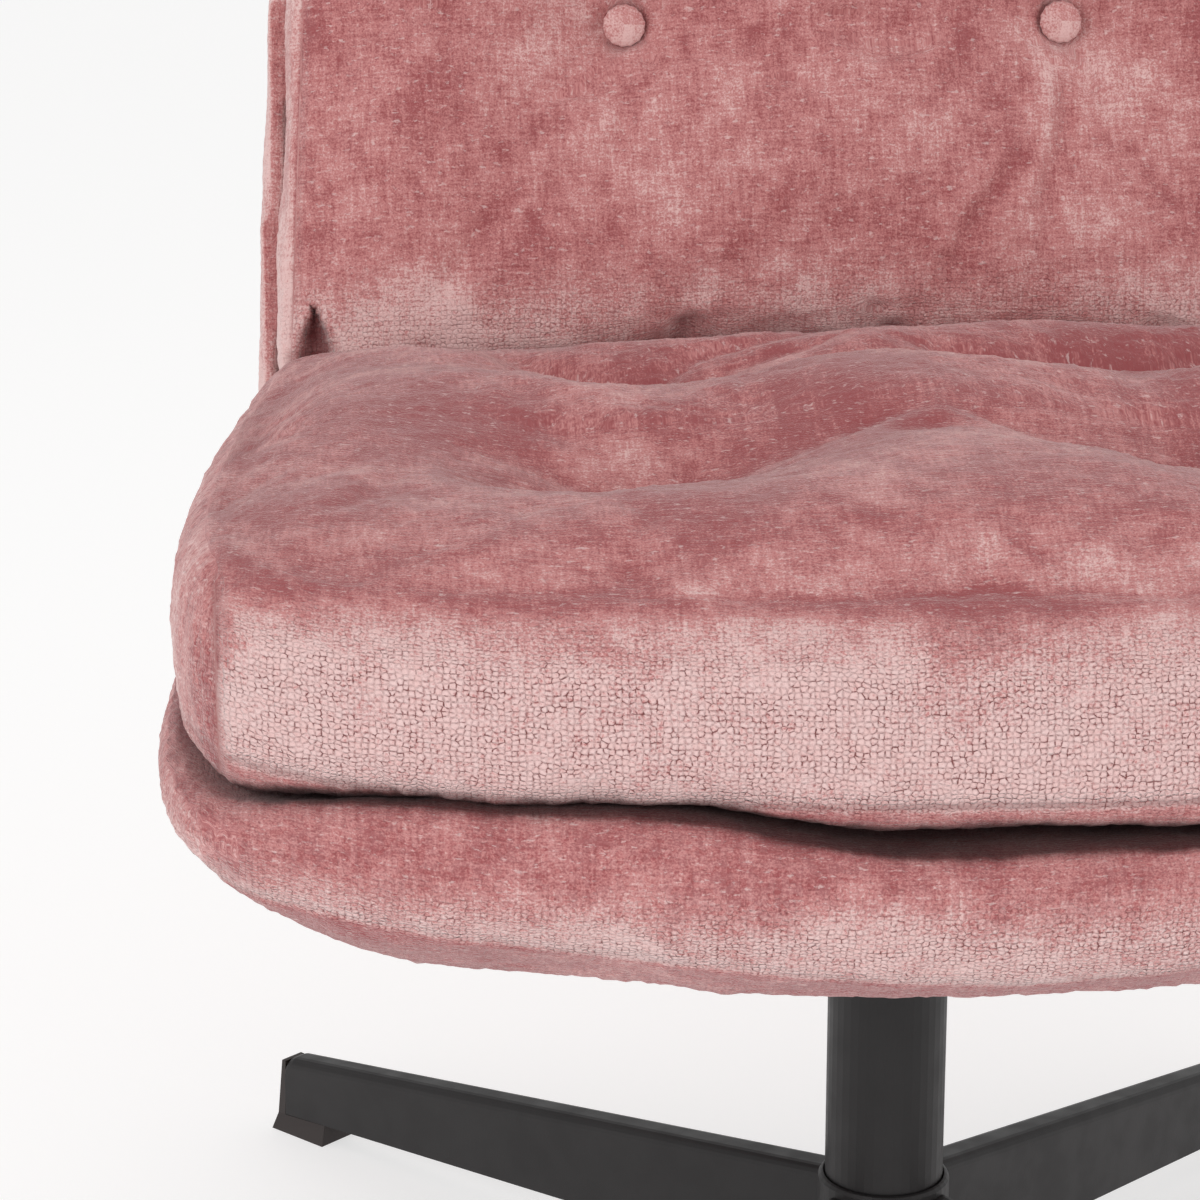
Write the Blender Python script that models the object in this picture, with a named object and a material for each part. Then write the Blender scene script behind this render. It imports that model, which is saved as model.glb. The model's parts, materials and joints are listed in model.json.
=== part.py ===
"""Armless upholstered swivel chair: a four-arm steel base, a column with a turning spindle, a wooden
seat and back frame, and padded seat and back. Metres, +Z up, the floor at z = 0."""

import math

import bmesh
import bpy
from mathutils import Matrix, Vector

GAP = 0.0003  # between pieces that touch on the real chair

# Overall
FRONT_REACH = 0.325  # column axis to the front of the seat shell
REAR_REACH = 0.413  # column axis to the rear of the back shell
AXIS_Y = (FRONT_REACH - REAR_REACH) / 2  # puts the chair's middle over the origin
LEAN = math.radians(15)  # of the back

# Base
ARM_TIP = 0.3955  # column axis to the steel end of an arm
ARM_WALL = 0.002
ARM_HUB_BOTTOM, ARM_HUB_TOP, ARM_HUB_WIDTH = 0.034, 0.0935, 0.019
ARM_TIP_BOTTOM, ARM_TIP_TOP, ARM_TIP_WIDTH = 0.0085, 0.0410, 0.016
ARM_FOLD_RADIUS = 0.005
FOOT_LENGTH, FOOT_WIDTH, FOOT_FLARE = 0.038, 0.024, 0.0065
TUBE_RADIUS, TUBE_WALL, TUBE_SEGMENTS = 0.0275, 0.0022, 40
TUBE_BOTTOM, TUBE_TOP = 0.034, 0.2868
COLLAR_RADIUS, COLLAR_BOTTOM, COLLAR_TOP = 0.0306, 0.030, 0.0945

# Swivel
SPINDLE_RADIUS, SPINDLE_BOTTOM = 0.0125, 0.155
RUNNING = 0.0001  # spindle to bush, on the radius
BUSH_LENGTH, BUSH_FLANGE = 0.030, 0.002
LOWER_BUSH_BOTTOM = 0.170
THRUST_RADIUS, THRUST_THICK = 0.0262, 0.002
SPINDLE_FLANGE_RADIUS = 0.024
CLIP_RADIUS, CLIP_GROOVE_RADIUS = 0.0156, 0.0113
PLATE_SIDE, PLATE_THICK, PLATE_TOP, PLATE_CORNER = 0.160, 0.004, 0.2982, 0.012
BOLT_RADIUS, BOLT_INSET, BOLT_CLEARANCE = 0.004, 0.018, 0.0005
PLATE_BOLT_LENGTH, FRAME_BOLT_LENGTH = 0.026, 0.042
NUT_BARREL, NUT_LENGTH, NUT_FLANGE, NUT_FLANGE_THICK = 0.005, 0.008, 0.0095, 0.0015

# Seat frame
WOOD_BOTTOM = 0.300
RAIL_HEIGHT, RAIL_THICK = 0.048, 0.020
BOARD_THICK, BOARD_DEPTH = 0.015, 0.220
FRAME_HALF_WIDTH, FRAME_FRONT = 0.200, -0.225
STRAP_WIDTH, STRAP_THICK = 0.050, 0.002

# Seat upholstery
SHELL_TOP = 0.3690
DECK_BOTTOM = 0.3515
SWEEP_REACH = 0.25  # from the middle out to where the shell's underside stops rising
CUSHION_BOTTOM, CUSHION_EDGE_TOP, CUSHION_CROWN = 0.3693, 0.460, 0.022
CUSHION_EDGE = 0.038
SEAT_TUFTS = [(x, y) for y in (-0.117, 0.053) for x in (-0.116, 0.116)]
SEAT_TUFT_DEPTH = 0.042
TUFT_SPREAD = 0.040
LYING_EDGE = 0.010  # rounding of a cushion's edges on the side that it lies on
OUTLINE_POINTS = 48

# Back, in its own leaning frame: y = 0 is the front of the back shell and z runs up the back
BACK_Y, BACK_Z = 0.221, 0.303
BACK_HALF_WIDTH, BACK_HEIGHT, BACK_DEPTH = 0.296, 0.570, 0.050
BACK_TAPER = 0.050  # how much each side comes in for each metre up the back
BACK_CORNER, BACK_WALL, BACK_PANEL = 0.050, 0.014, 0.012
BACK_FOOT = 0.012
UPRIGHT_DEPTH, UPRIGHT_BOTTOM, UPRIGHT_TOP = 0.0292, 0.017, 0.535
FRAME_BOLT_HEIGHTS = (0.0255, 0.0400)
BACK_RAILS = {"back_lower_rail": (0.105, 0.140), "back_top_rail": (0.500, UPRIGHT_TOP)}
PAD_HALF_WIDTH, PAD_BOTTOM, PAD_TOP, PAD_CORNER = 0.286, 0.087, 0.562, 0.045
PAD_REAR, PAD_EDGE_THICK, PAD_CROWN, PAD_EDGE = 0.003, 0.076, 0.014, 0.034
BACK_TUFTS = [(x, z) for z in (0.287, 0.437) for x in (-0.107, 0.107)]
BACK_TUFT_DEPTH = 0.024
BUTTON_RADIUS, BUTTON_THICK = 0.0105, 0.008

# Right half of the seat cushion's outline, front to rear, seen from above
CUSHION_PLAN = [
    (0.0, -0.316), (0.10, -0.311), (0.19, -0.297), (0.255, -0.272), (0.296, -0.235), (0.313, -0.180),
    (0.315, -0.100), (0.308, 0.0), (0.297, 0.080), (0.287, 0.135), (0.265, 0.158), (0.19, 0.162),
]
# The same for the seat shell where it is widest. Its rear end is cut off at the back shell
SHELL_PLAN = [
    (0.0, -0.325), (0.10, -0.320), (0.19, -0.306), (0.260, -0.280), (0.303, -0.242), (0.321, -0.187),
    (0.323, -0.100), (0.316, 0.0), (0.305, 0.080), (0.296, 0.150), (0.290, 0.220), (0.275, 0.290),
    (0.225, 0.340), (0.11, 0.355), (0.0, 0.357),
]
# The shell's side from its underside up: scale across, scale fore and aft, and the height on the
# centre line and towards the sides, where the seam sweeps up
SHELL_SIDE = [
    (0.760, 0.890, 0.300, 0.300), (0.965, 0.972, 0.317, 0.334), (0.990, 0.991, 0.333, 0.343),
    (1.000, 1.000, 0.352, 0.352), (0.993, 0.993, 0.363, 0.363), (0.970, 0.972, SHELL_TOP, SHELL_TOP),
]


def new_material(name, colour, roughness, metallic=0.0):
    material = bpy.data.materials.new(name)
    material.use_nodes = True
    shader = material.node_tree.nodes["Principled BSDF"]
    shader.inputs["Base Color"].default_value = (*colour, 1.0)
    shader.inputs["Roughness"].default_value = roughness
    shader.inputs["Metallic"].default_value = metallic
    return material


def new_empty(name, parent=None, location=(0, 0, 0), lean=0.0):
    empty = bpy.data.objects.new(name, None)
    empty.location = location
    empty.rotation_euler.x = lean
    empty.parent = parent
    bpy.context.scene.collection.objects.link(empty)
    return empty


def mesh_from(bm, name):
    """A mesh of the closed body in bm, with its faces turned out."""
    bmesh.ops.remove_doubles(bm, verts=bm.verts, dist=1e-6)
    bmesh.ops.recalc_face_normals(bm, faces=bm.faces)
    mesh = bpy.data.meshes.new(name)
    bm.to_mesh(mesh)
    bm.free()
    return mesh


def place(name, mesh, parent, material, location=(0, 0, 0), turn=0.0, smooth=True):
    """An object of the mesh, turned about Z in its parent's frame."""
    obj = bpy.data.objects.new(name, mesh)
    obj.location = location
    obj.rotation_euler.z = turn
    obj.parent = parent
    bpy.context.scene.collection.objects.link(obj)
    if material:
        mesh.materials.clear()
        mesh.materials.append(material)
    if smooth:
        mesh.shade_smooth()
        mesh.set_sharp_from_angle(angle=math.radians(35))
    return obj


def cutter(name, mesh, parent, location=(0, 0, 0), turn=0.0):
    obj = place(name, mesh, parent, None, location, turn, smooth=False)
    obj.hide_render = True
    obj.display_type = "WIRE"
    return obj


def cut(obj, *tools):
    for tool in tools:
        modifier = obj.modifiers.new("Cut " + tool.name, "BOOLEAN")
        modifier.operation = "DIFFERENCE"
        modifier.object = tool


def skin(bm, rings, closed=True):
    """Quads between neighbouring rings of vertices, and from the last ring to the first where closed."""
    pairs = list(zip(rings, rings[1:]))
    if closed:
        pairs.append((rings[-1], rings[0]))
    for ring, following in pairs:
        for i in range(len(ring)):
            j = (i + 1) % len(ring)
            bm.faces.new((ring[i], ring[j], following[j], following[i]))


def turned(name, profile, segments=32):
    """A body of revolution about Z. profile is its closed half-section, as (radius, z)."""
    bm = bmesh.new()
    corners = [bm.verts.new((radius, 0, z)) for radius, z in profile]
    edges = [bm.edges.new((a, b)) for a, b in zip(corners, corners[1:] + corners[:1])]
    on_axis = [edge for edge in edges if all(vert.co.x < 1e-9 for vert in edge.verts)]
    bmesh.ops.delete(bm, geom=on_axis, context="EDGES")
    bmesh.ops.spin(
        bm, geom=bm.verts[:] + bm.edges[:], axis=(0, 0, 1), cent=(0, 0, 0), angle=math.tau,
        steps=segments, use_merge=True,
    )
    return mesh_from(bm, name)


def ring_profile(inner, outer, bottom, top):
    return [(inner, bottom), (outer, bottom), (outer, top), (inner, top)]


def disc_profile(radius, bottom, top):
    return [(0, bottom), (radius, bottom), (radius, top), (0, top)]


def box(name, low, high, bevel=0.0):
    """A box between two corners, with its edges broken by a chamfer."""
    bm = bmesh.new()
    bmesh.ops.create_cube(bm, size=1)
    low, high = Vector(low), Vector(high)
    bmesh.ops.scale(bm, vec=high - low, verts=bm.verts)
    bmesh.ops.translate(bm, vec=(low + high) / 2, verts=bm.verts)
    if bevel:
        bmesh.ops.bevel(bm, geom=bm.edges[:], offset=bevel, segments=1, affect="EDGES")
    return mesh_from(bm, name)


def prism(name, outline, along, bottom, top):
    """outline, a list of pairs, pulled from bottom to top along axis number along."""
    bm = bmesh.new()
    rings = []
    for level in (bottom, top):
        points = [list(pair) for pair in outline]
        for point in points:
            point.insert(along, level)
        rings.append([bm.verts.new(point) for point in points])
    skin(bm, rings, closed=False)
    for ring in rings:
        bm.faces.new(ring)
    return mesh_from(bm, name)


def arc(centre, radius, start, end, steps):
    """Points of a circular arc, ends included, angles in degrees."""
    angles = (math.radians(start + (end - start) * i / steps) for i in range(steps + 1))
    return [(centre[0] + radius * math.cos(a), centre[1] + radius * math.sin(a)) for a in angles]


def closed_curve(half, samples):
    """A smooth closed outline through the points of the right half and their mirror images."""
    points = [Vector(p) for p in half]
    points += [Vector((-p.x, p.y)) for p in reversed(points) if p.x > 0]
    count = len(points)
    outline = []
    for i in range(samples):
        place_on_loop = i * count / samples
        k = int(place_on_loop)
        t = place_on_loop - k
        before, start, end, after = (points[(k + j) % count] for j in (-1, 0, 1, 2))
        outline.append(
            0.5 * (2 * start + (end - before) * t + (2 * before - 5 * start + 4 * end - after) * t**2
                   + (3 * start - before - 3 * end + after) * t**3)
        )
    return outline


def grown(outline, distance):
    """The anticlockwise outline moved out by distance, or in where it is negative."""
    count = len(outline)
    moved = []
    for i, point in enumerate(outline):
        tangent = outline[(i + 1) % count] - outline[i - 1]
        normal = Vector((tangent.y, -tangent.x)).normalized()
        moved.append(point + normal * distance)
    return moved


def rounded_rectangle(half_width, low, high, corner, corner_steps=4, side_steps=1):
    """An anticlockwise rectangle with round corners and each side split in side_steps."""
    centres = [
        (half_width - corner, high - corner), (corner - half_width, high - corner),
        (corner - half_width, low + corner), (half_width - corner, low + corner),
    ]
    arcs = [arc(centre, corner, 90 * i, 90 * i + 90, corner_steps) for i, centre in enumerate(centres)]
    outline = []
    for bend, following in zip(arcs, arcs[1:] + arcs[:1]):
        outline += [Vector(point) for point in bend]
        start, end = Vector(bend[-1]), Vector(following[0])
        outline += [start.lerp(end, step / side_steps) for step in range(1, side_steps)]
    return outline


def well_depth(x, y, tufts, depth):
    return sum(
        depth * math.exp(-((x - tx) ** 2 + (y - ty) ** 2) / TUFT_SPREAD**2) for tx, ty in tufts
    )


def padded_body(name, outline, bottom, top, edge, crown, tufts, tuft_depth):
    """A boxy cushion with round sides, a crowned top and a well at each tuft, lying flat."""
    bm = bmesh.new()
    middle, half_height = (bottom + top) / 2, (top - bottom) / 2
    edge_steps, inner_steps = 6, 4
    roundness = 2 / 2.8  # the sides follow a superellipse
    inner = grown(outline, -edge)
    centre = Vector((0, sum(p.y for p in inner) / len(inner)))
    rings = []

    def add_ring(points, heights):
        rings.append([bm.verts.new((p.x, p.y, z)) for p, z in zip(points, heights)])

    def surface(point, share):
        rise = crown * (1 - share**4)
        return top + rise - well_depth(point.x, point.y, tufts, tuft_depth)

    levels = [i / inner_steps for i in range(1, inner_steps)]
    for share in levels:
        add_ring([centre + (p - centre) * share for p in inner], [bottom] * len(inner))
    for step in range(edge_steps + 1):
        angle = math.radians(-90 + 180 * step / edge_steps)
        out = abs(math.cos(angle)) ** roundness
        up = math.copysign(abs(math.sin(angle)) ** roundness, angle)
        inset = edge if up > 0 else LYING_EDGE
        points = grown(outline, -inset * (1 - out))
        wells = [max(0, up) * well_depth(p.x, p.y, tufts, tuft_depth) for p in points]
        add_ring(points, [middle + half_height * up - well for well in wells])
    for share in reversed(levels):
        points = [centre + (p - centre) * share for p in inner]
        add_ring(points, [surface(p, share) for p in points])
    skin(bm, rings, closed=False)
    low_pole = bm.verts.new((centre.x, centre.y, bottom))
    high_pole = bm.verts.new((centre.x, centre.y, surface(centre, 0)))
    for pole, ring in ((low_pole, rings[0]), (high_pole, rings[-1])):
        for i in range(len(ring)):
            bm.faces.new((pole, ring[i], ring[(i + 1) % len(ring)]))
    return mesh_from(bm, name)


def shell_body(name):
    """The padded tray under the seat cushion, narrow underneath and widest near its top."""
    bm = bmesh.new()
    outline = closed_curve(SHELL_PLAN, OUTLINE_POINTS)
    rings = []
    for across, along, middle_z, side_z in SHELL_SIDE:
        ring = []
        for point in outline:
            sweep = min(1.0, abs(point.x) / SWEEP_REACH) ** 2
            height = middle_z + (side_z - middle_z) * sweep
            ring.append(bm.verts.new((point.x * across, point.y * along, height)))
        rings.append(ring)
    skin(bm, rings, closed=False)
    bm.faces.new(rings[0])
    bm.faces.new(rings[-1])
    return mesh_from(bm, name)


def stand_up(mesh):
    """Turns a body that was made lying flat so that its top faces the front and its rear is up."""
    mesh.transform(Matrix.Rotation(math.radians(90), 4, "X"))
    return mesh


def back_face_y(z, depth):
    """Where the plane at a depth in the back's leaning frame crosses height z."""
    return BACK_Y + (z - BACK_Z) * math.tan(LEAN) + depth / math.cos(LEAN)


def arm_at(x):
    """Bottom, top and width of an arm at a distance from the column axis."""
    hub = Vector((ARM_HUB_BOTTOM, ARM_HUB_TOP, ARM_HUB_WIDTH))
    tip = Vector((ARM_TIP_BOTTOM, ARM_TIP_TOP, ARM_TIP_WIDTH))
    return hub.lerp(tip, x / ARM_TIP)


def arm_section(x, drop):
    """The inverted channel's section, with its top lowered by drop."""
    bottom, top, width = arm_at(x)
    top -= drop
    section = []
    for inset, radius, start in ((0, ARM_FOLD_RADIUS, 0), (ARM_WALL, ARM_FOLD_RADIUS - ARM_WALL, 180)):
        half, height = width / 2 - inset, top - inset
        right = arc((half - radius, height - radius), radius, 0, 90, 4)
        left = arc((radius - half, height - radius), radius, 90, 180, 4)
        run = [(half, bottom), *right, *left, (-half, bottom)]
        section += run if start == 0 else run[::-1]
    return [(x, y, z) for y, z in section]


def arm_mesh():
    """A tapered channel along +X, with the top corner of its tip rounded."""
    bm = bmesh.new()
    corner = 0.005
    stations = [(0.024, 0.0), (ARM_TIP - corner, 0.0)]
    for angle in (30, 60, 90):
        reach = corner * math.sin(math.radians(angle))
        stations.append((ARM_TIP - corner + reach, corner * (1 - math.cos(math.radians(angle)))))
    rings = [[bm.verts.new(p) for p in arm_section(x, drop)] for x, drop in stations]
    skin(bm, rings, closed=False)
    bm.faces.new(rings[0])
    bm.faces.new(rings[-1])
    return mesh_from(bm, "arm")


def foot_mesh():
    """A flared pad under the tip of an arm, a cover over its end and a plug up its channel."""
    bm = bmesh.new()
    outer, inner = ARM_TIP + FOOT_FLARE, ARM_TIP + FOOT_FLARE - FOOT_LENGTH
    end = ARM_TIP + GAP
    cover_top = arm_at(ARM_TIP)[1] - 0.002
    low_half, high_half = FOOT_WIDTH / 2, ARM_TIP_WIDTH / 2

    def under_arm(x):
        return arm_at(x)[0] - GAP

    shoulder = 0.002
    profile = [
        (inner, 0.0, low_half), (outer, 0.0, low_half), (outer - 0.001, under_arm(end), high_half),
        (end, under_arm(end), high_half), (inner + shoulder, under_arm(inner), high_half),
    ]
    cover = [(end + 0.0025, cover_top, high_half - 0.001), (end, cover_top, high_half - 0.001)]
    sides = []
    for sign in (-1, 1):
        sides.append([bm.verts.new((x, sign * half, z)) for x, z, half in profile + cover])
        pad_outer, pad_end, cover_outer, cover_end = (sides[-1][i] for i in (2, 3, 5, 6))
        bm.faces.new(sides[-1][:5])
        bm.faces.new((pad_outer, cover_outer, cover_end, pad_end))
    loop = (0, 1, 2, 5, 6, 3, 4)
    for a, b in zip(loop, loop[1:] + loop[:1]):
        face = bm.faces.new((sides[0][a], sides[0][b], sides[1][b], sides[1][a]))
        if (a, b) == (3, 4):
            pad_top = face
    bmesh.ops.recalc_face_normals(bm, faces=bm.faces)
    bmesh.ops.inset_region(bm, faces=[pad_top], thickness=0.001)
    for vertex in pad_top.verts:
        vertex.co.y = math.copysign(ARM_TIP_WIDTH / 2 - ARM_WALL - 0.0006, vertex.co.y)
        vertex.co.x += math.copysign(0.003, ARM_TIP - FOOT_LENGTH / 3 - vertex.co.x)
    raised = bmesh.ops.extrude_face_region(bm, geom=[pad_top])
    bmesh.ops.delete(bm, geom=[pad_top], context="FACES_ONLY")
    lifted = [item for item in raised["geom"] if isinstance(item, bmesh.types.BMVert)]
    bmesh.ops.translate(bm, verts=lifted, vec=(0, 0, 0.018))
    return mesh_from(bm, "foot")


def bolt_mesh(name, length, head_across, head_height):
    """A hexagon-headed bolt that points up, with the underside of its head at z = 0."""
    bm = bmesh.new()
    circumradius = head_across / math.sqrt(3)
    head = bmesh.ops.create_cone(
        bm, cap_ends=True, segments=6, radius1=circumradius, radius2=circumradius, depth=head_height
    )
    bmesh.ops.translate(bm, verts=head["verts"], vec=(0, 0, -head_height / 2))
    bm.normal_update()
    underside = max(bm.faces, key=lambda face: face.calc_center_median().z)
    rim = [bm.verts.new((BOLT_RADIUS * math.cos(a), BOLT_RADIUS * math.sin(a), 0))
           for a in (math.tau * i / 12 for i in range(12))]
    tip = [bm.verts.new((v.co.x, v.co.y, length)) for v in rim]
    corners = sorted(underside.verts, key=lambda v: math.atan2(v.co.y, v.co.x) % math.tau)
    bmesh.ops.delete(bm, geom=[underside], context="FACES_ONLY")
    start = math.atan2(corners[0].co.y, corners[0].co.x) % math.tau
    first = round(start / (math.tau / 12))
    for i, corner in enumerate(corners):
        a, b, c = (rim[(first + 2 * i + j) % 12] for j in range(3))
        following = corners[(i + 1) % 6]
        bm.faces.new((corner, a, b))
        bm.faces.new((corner, b, following))
        bm.faces.new((following, b, c))
    skin(bm, [rim, tip], closed=False)
    bm.faces.new(tip)
    return mesh_from(bm, name)


def pin_cutters(name, centres, radius, bottom, top):
    """Upright cylinders at the centres, in one mesh."""
    bm = bmesh.new()
    for x, y in centres:
        pin = bmesh.ops.create_cone(
            bm, cap_ends=True, segments=16, radius1=radius, radius2=radius, depth=top - bottom
        )
        bmesh.ops.translate(bm, verts=pin["verts"], vec=(x, y, (bottom + top) / 2))
    return mesh_from(bm, name)


def strap_mesh(name, length):
    """A flat strap along X."""
    return box(name, (-length / 2, -STRAP_WIDTH / 2, 0), (length / 2, STRAP_WIDTH / 2, STRAP_THICK), 0.0004)


def button_mesh():
    """A domed button whose flat underside is at z = 0."""
    rim = BUTTON_RADIUS - 0.0025
    dome = [(BUTTON_RADIUS * math.cos(a), 0.003 + (BUTTON_THICK - 0.003) * math.sin(a))
            for a in (math.radians(30 * i) for i in range(3))]
    return turned("button", [(0, 0), (rim, 0), *dome, (0, BUTTON_THICK)], segments=16)


def make_base(root, steel, plastic, nylon):
    collar = [
        (TUBE_RADIUS + GAP, COLLAR_BOTTOM), (COLLAR_RADIUS, COLLAR_BOTTOM),
        (COLLAR_RADIUS, COLLAR_TOP - 0.002), (COLLAR_RADIUS - 0.001, COLLAR_TOP - 0.0005),
        (COLLAR_RADIUS - 0.0018, COLLAR_TOP), (TUBE_RADIUS + 0.0008, COLLAR_TOP),
        (TUBE_RADIUS + GAP, COLLAR_TOP - 0.002),
    ]
    place("hub_collar", turned("hub_collar", collar, TUBE_SEGMENTS), root, steel)
    tube_inner = TUBE_RADIUS - TUBE_WALL
    tube = ring_profile(tube_inner, TUBE_RADIUS, TUBE_BOTTOM, TUBE_TOP)
    place("column_tube", turned("column_tube", tube, TUBE_SEGMENTS), root, steel)
    plug_radius = tube_inner - GAP
    plug = [
        (0, COLLAR_BOTTOM), (TUBE_RADIUS - 0.001, COLLAR_BOTTOM), (TUBE_RADIUS, COLLAR_BOTTOM + 0.001),
        (TUBE_RADIUS, TUBE_BOTTOM - GAP), (plug_radius, TUBE_BOTTOM - GAP), (plug_radius, 0.048),
        (0, 0.048),
    ]
    place("column_plug", turned("column_plug", plug), root, plastic)

    bush_bore, bush_outer = SPINDLE_RADIUS + RUNNING, tube_inner - GAP
    flange_bottom = TUBE_TOP + GAP
    upper = [
        (bush_bore, TUBE_TOP - BUSH_LENGTH), (bush_outer, TUBE_TOP - BUSH_LENGTH),
        (bush_outer, flange_bottom), (TUBE_RADIUS, flange_bottom),
        (TUBE_RADIUS, flange_bottom + BUSH_FLANGE), (bush_bore, flange_bottom + BUSH_FLANGE),
    ]
    place("upper_bush", turned("upper_bush", upper), root, nylon)
    lower = ring_profile(bush_bore, bush_outer, LOWER_BUSH_BOTTOM, LOWER_BUSH_BOTTOM + BUSH_LENGTH)
    place("lower_bush", turned("lower_bush", lower), root, nylon)
    washer_bottom = flange_bottom + BUSH_FLANGE + GAP
    washer_top = washer_bottom + THRUST_THICK
    washer = ring_profile(SPINDLE_RADIUS + 2 * GAP, THRUST_RADIUS, washer_bottom, washer_top)
    place("thrust_washer", turned("thrust_washer", washer), root, nylon)

    trim = turned("arm_trim", disc_profile(COLLAR_RADIUS + GAP, 0, 0.14), TUBE_SEGMENTS)
    trim_tool = cutter("arm_trim_cutter", trim, root)
    for end, y_sign in (("front", -1), ("rear", 1)):
        for side, x_sign in (("left", -1), ("right", 1)):
            turn = math.atan2(y_sign, x_sign)
            arm = place(f"arm_{end}_{side}", arm_mesh(), root, steel, turn=turn)
            cut(arm, trim_tool)
            place(f"foot_{end}_{side}", foot_mesh(), root, plastic, turn=turn)
    return washer_top + GAP


def make_swivel(turning, flange_bottom, steel, bare_steel):
    """The spindle and the plate on its head. It gives back the places of the plate's bolts."""
    flange_top = PLATE_TOP - PLATE_THICK - GAP
    groove_bottom, groove_top = LOWER_BUSH_BOTTOM - 0.0048, LOWER_BUSH_BOTTOM - 0.0023
    bevel = 0.0015
    spindle = [
        (0, SPINDLE_BOTTOM), (SPINDLE_RADIUS - bevel, SPINDLE_BOTTOM),
        (SPINDLE_RADIUS, SPINDLE_BOTTOM + bevel), (SPINDLE_RADIUS, groove_bottom),
        (CLIP_GROOVE_RADIUS, groove_bottom), (CLIP_GROOVE_RADIUS, groove_top),
        (SPINDLE_RADIUS, groove_top), (SPINDLE_RADIUS, flange_bottom),
        (SPINDLE_FLANGE_RADIUS, flange_bottom), (SPINDLE_FLANGE_RADIUS, flange_top), (0, flange_top),
    ]
    place("spindle", turned("spindle", spindle), turning, bare_steel)
    washer_top = LOWER_BUSH_BOTTOM - GAP
    washer = ring_profile(SPINDLE_RADIUS + GAP, 0.020, groove_top + GAP, washer_top)
    place("retaining_washer", turned("retaining_washer", washer), turning, bare_steel)
    clip_outline = arc((0, 0), CLIP_RADIUS, 25, 335, 20)
    clip_outline += arc((0, 0), CLIP_GROOVE_RADIUS + GAP, 335, 25, 20)
    clip = prism("retaining_clip", clip_outline, 2, groove_bottom + GAP, groove_top)
    place("retaining_clip", clip, turning, bare_steel)

    half = PLATE_SIDE / 2
    outline = rounded_rectangle(half, -half, half, PLATE_CORNER)
    plate_mesh = prism("swivel_plate", outline, 2, PLATE_TOP - PLATE_THICK, PLATE_TOP)
    plate = place("swivel_plate", plate_mesh, turning, steel)
    offset = half - BOLT_INSET
    centres = [(x, y) for y in (-offset, offset) for x in (-offset, offset)]
    clearance = pin_cutters("bolt_clearance", centres, BOLT_RADIUS + BOLT_CLEARANCE, 0.28, 0.299)
    cut(plate, cutter("bolt_clearance_cutter", clearance, turning))
    nut_top = WOOD_BOTTOM + BOARD_THICK + GAP
    nut = [
        (BOLT_RADIUS + GAP, nut_top - NUT_LENGTH), (NUT_BARREL, nut_top - NUT_LENGTH),
        (NUT_BARREL, nut_top), (NUT_FLANGE, nut_top),
        (NUT_FLANGE, nut_top + NUT_FLANGE_THICK), (BOLT_RADIUS + GAP, nut_top + NUT_FLANGE_THICK),
    ]
    under_plate = PLATE_TOP - PLATE_THICK - GAP
    for number, (x, y) in enumerate(centres, 1):
        bolt = bolt_mesh("plate_bolt", PLATE_BOLT_LENGTH, 0.013, 0.005)
        place(f"plate_bolt_{number}", bolt, turning, bare_steel, (x, y, under_plate))
        place(f"tee_nut_{number}", turned("tee_nut", nut, 12), turning, bare_steel, (x, y, 0))
    return centres


def make_seat_frame(turning, bolt_centres, wood, plywood, webbing, felt):
    """The wooden frame, its straps and its cover. It gives back the rear rail, which holds the back."""
    top = WOOD_BOTTOM + RAIL_HEIGHT
    inner = FRAME_HALF_WIDTH - RAIL_THICK
    chamfer = 0.001
    rear_top, rear_bottom = (back_face_y(z, -GAP) for z in (top, WOOD_BOTTOM))
    front_of_rear = rear_bottom - 0.026
    front_low = (-FRAME_HALF_WIDTH, FRAME_FRONT, WOOD_BOTTOM)
    front_high = (FRAME_HALF_WIDTH, FRAME_FRONT + RAIL_THICK, top)
    place("front_rail", box("front_rail", front_low, front_high, chamfer), turning, wood)
    section = [
        (front_of_rear, WOOD_BOTTOM), (rear_bottom, WOOD_BOTTOM), (rear_top, top), (front_of_rear, top),
    ]
    rear = prism("rear_rail", section, 0, -FRAME_HALF_WIDTH, FRAME_HALF_WIDTH)
    rear_rail = place("rear_rail", rear, turning, wood)
    for side, sign in (("left", -1), ("right", 1)):
        xs = sorted((sign * inner, sign * FRAME_HALF_WIDTH))
        low = (xs[0], FRAME_FRONT + RAIL_THICK + GAP, WOOD_BOTTOM)
        high = (xs[1], front_of_rear - GAP, top)
        place(f"side_rail_{side}", box("side_rail", low, high, chamfer), turning, wood)
    board_low = (GAP - inner, -BOARD_DEPTH / 2, WOOD_BOTTOM)
    board_high = (inner - GAP, BOARD_DEPTH / 2, WOOD_BOTTOM + BOARD_THICK)
    board = place("mounting_board", box("mounting_board", board_low, board_high), turning, plywood)
    holes = pin_cutters("nut_holes", bolt_centres, NUT_BARREL + GAP, 0.29, 0.33)
    cut(board, cutter("nut_hole_cutter", holes, turning))

    lap, corner = 0.014, 0.012
    cover_outline = rounded_rectangle(FRAME_HALF_WIDTH + lap, FRAME_FRONT - lap, rear_bottom, corner)
    cover = prism("dust_cover", cover_outline, 2, PLATE_TOP + GAP, PLATE_TOP + 0.0015)
    dust_cover = place("dust_cover", cover, turning, felt)
    clearance = pin_cutters("cover_holes", bolt_centres, BOLT_RADIUS + BOLT_CLEARANCE, 0.29, 0.31)
    cut(dust_cover, cutter("cover_hole_cutter", clearance, turning))

    length = rear_bottom - FRAME_FRONT - 0.006
    middle = (rear_bottom + FRAME_FRONT) / 2
    for number, x in enumerate((-0.150, -0.050, 0.050, 0.150), 1):
        strap = strap_mesh("seat_webbing", length)
        place(f"seat_webbing_{number}", strap, turning, webbing, (x, middle, top + GAP), math.radians(90))
    return rear_rail


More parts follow.
